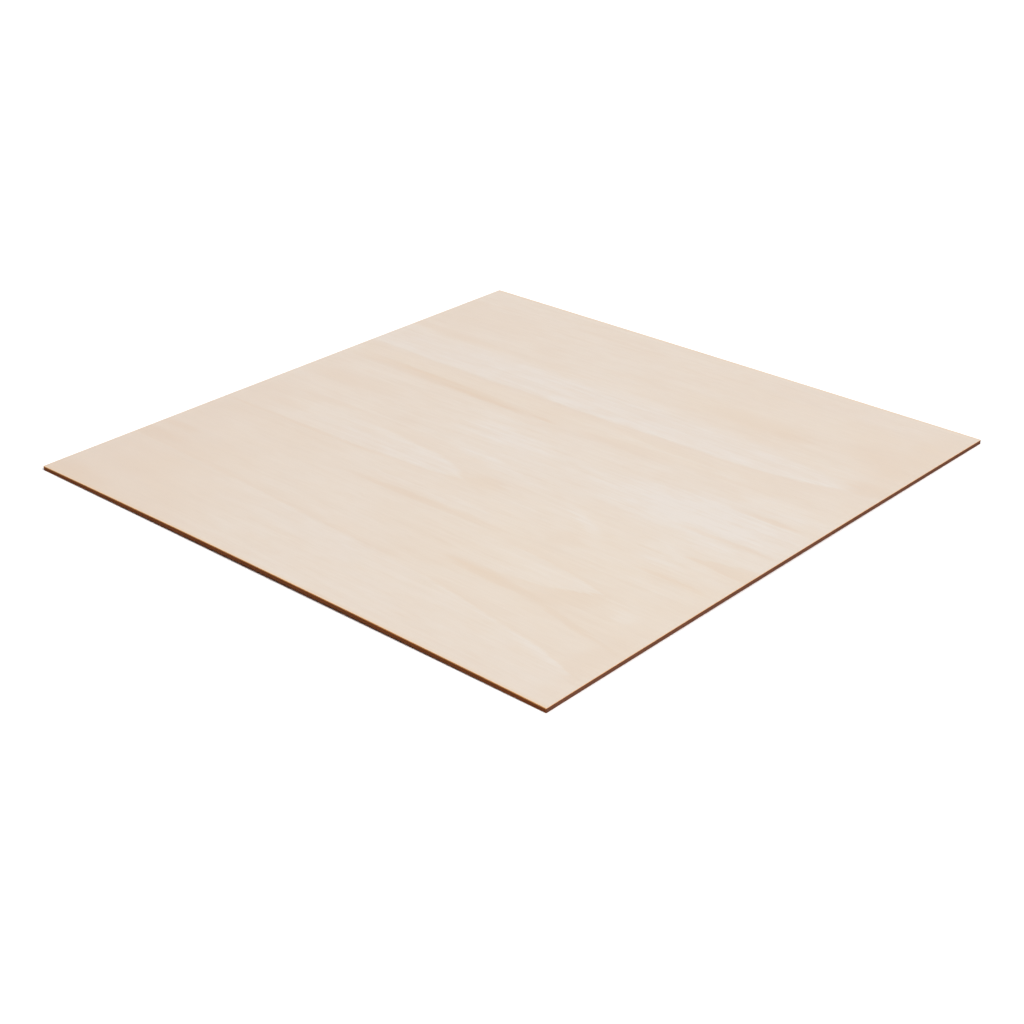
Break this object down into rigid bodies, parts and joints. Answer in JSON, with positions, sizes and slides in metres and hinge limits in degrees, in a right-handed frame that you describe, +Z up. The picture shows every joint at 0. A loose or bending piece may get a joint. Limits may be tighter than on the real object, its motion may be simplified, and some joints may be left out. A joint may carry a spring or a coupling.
{
  "type": "plywood sheet",
  "caption": "Thin square plywood sheet with pale, softly figured faces and scorched dark cut edges, raw stock for cutting, engraving and light panels.",
  "frame": {"origin": "centre of the underside, on the surface that the sheet lies on", "axes": "+X along the face grain, +Y across it, +Z up out of the face"},
  "size_m": [0.3, 0.3, 0.002],
  "materials": {
    "veneer": "bare sanded veneer, matt, with the cut edges scorched dark brown"
  },
  "bodies": {
    "root": {"plywood_sheet": "veneer"}
  },
  "joints": []
}
